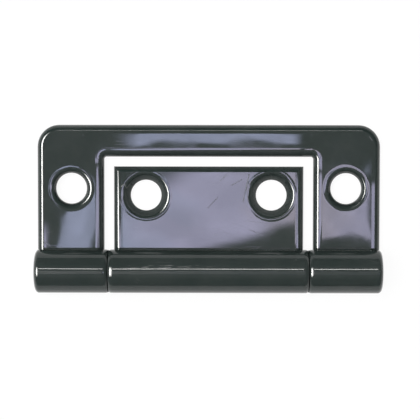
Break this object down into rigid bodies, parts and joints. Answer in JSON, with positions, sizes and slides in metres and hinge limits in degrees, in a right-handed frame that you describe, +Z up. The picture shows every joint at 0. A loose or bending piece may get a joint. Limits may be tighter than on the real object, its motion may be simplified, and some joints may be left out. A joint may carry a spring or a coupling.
{
  "type": "flush butt hinge",
  "caption": "Small flush butt hinge in glossy black enamelled steel: a leaf nests in the window of a larger leaf, and both are rolled into a barrel round a pin.",
  "frame": {"origin": "middle of the closed hinge's footprint, on the surface that it lies on", "axes": "+X along the pin, +Y from the pin to the leaves' free edges, +Z up, out of the face that carries the barrel"},
  "size_m": [0.05, 0.0244, 0.0063],
  "materials": {
    "leaf_enamel": "high-gloss black enamel over stamped steel",
    "pin_enamel": "the same enamel over the peened pin ends"
  },
  "bodies": {
    "outer": {"outer_leaf": "leaf_enamel", "hinge_pin": "pin_enamel"},
    "inner": {"inner_leaf": "leaf_enamel"}
  },
  "joints": [
    {"name": "leaf_swing", "type": "hinge", "parent": "outer", "child": "inner", "pos_m": [0, -0.00903, 0.00315], "axis": [1, 0, 0], "continuous": true}
  ]
}
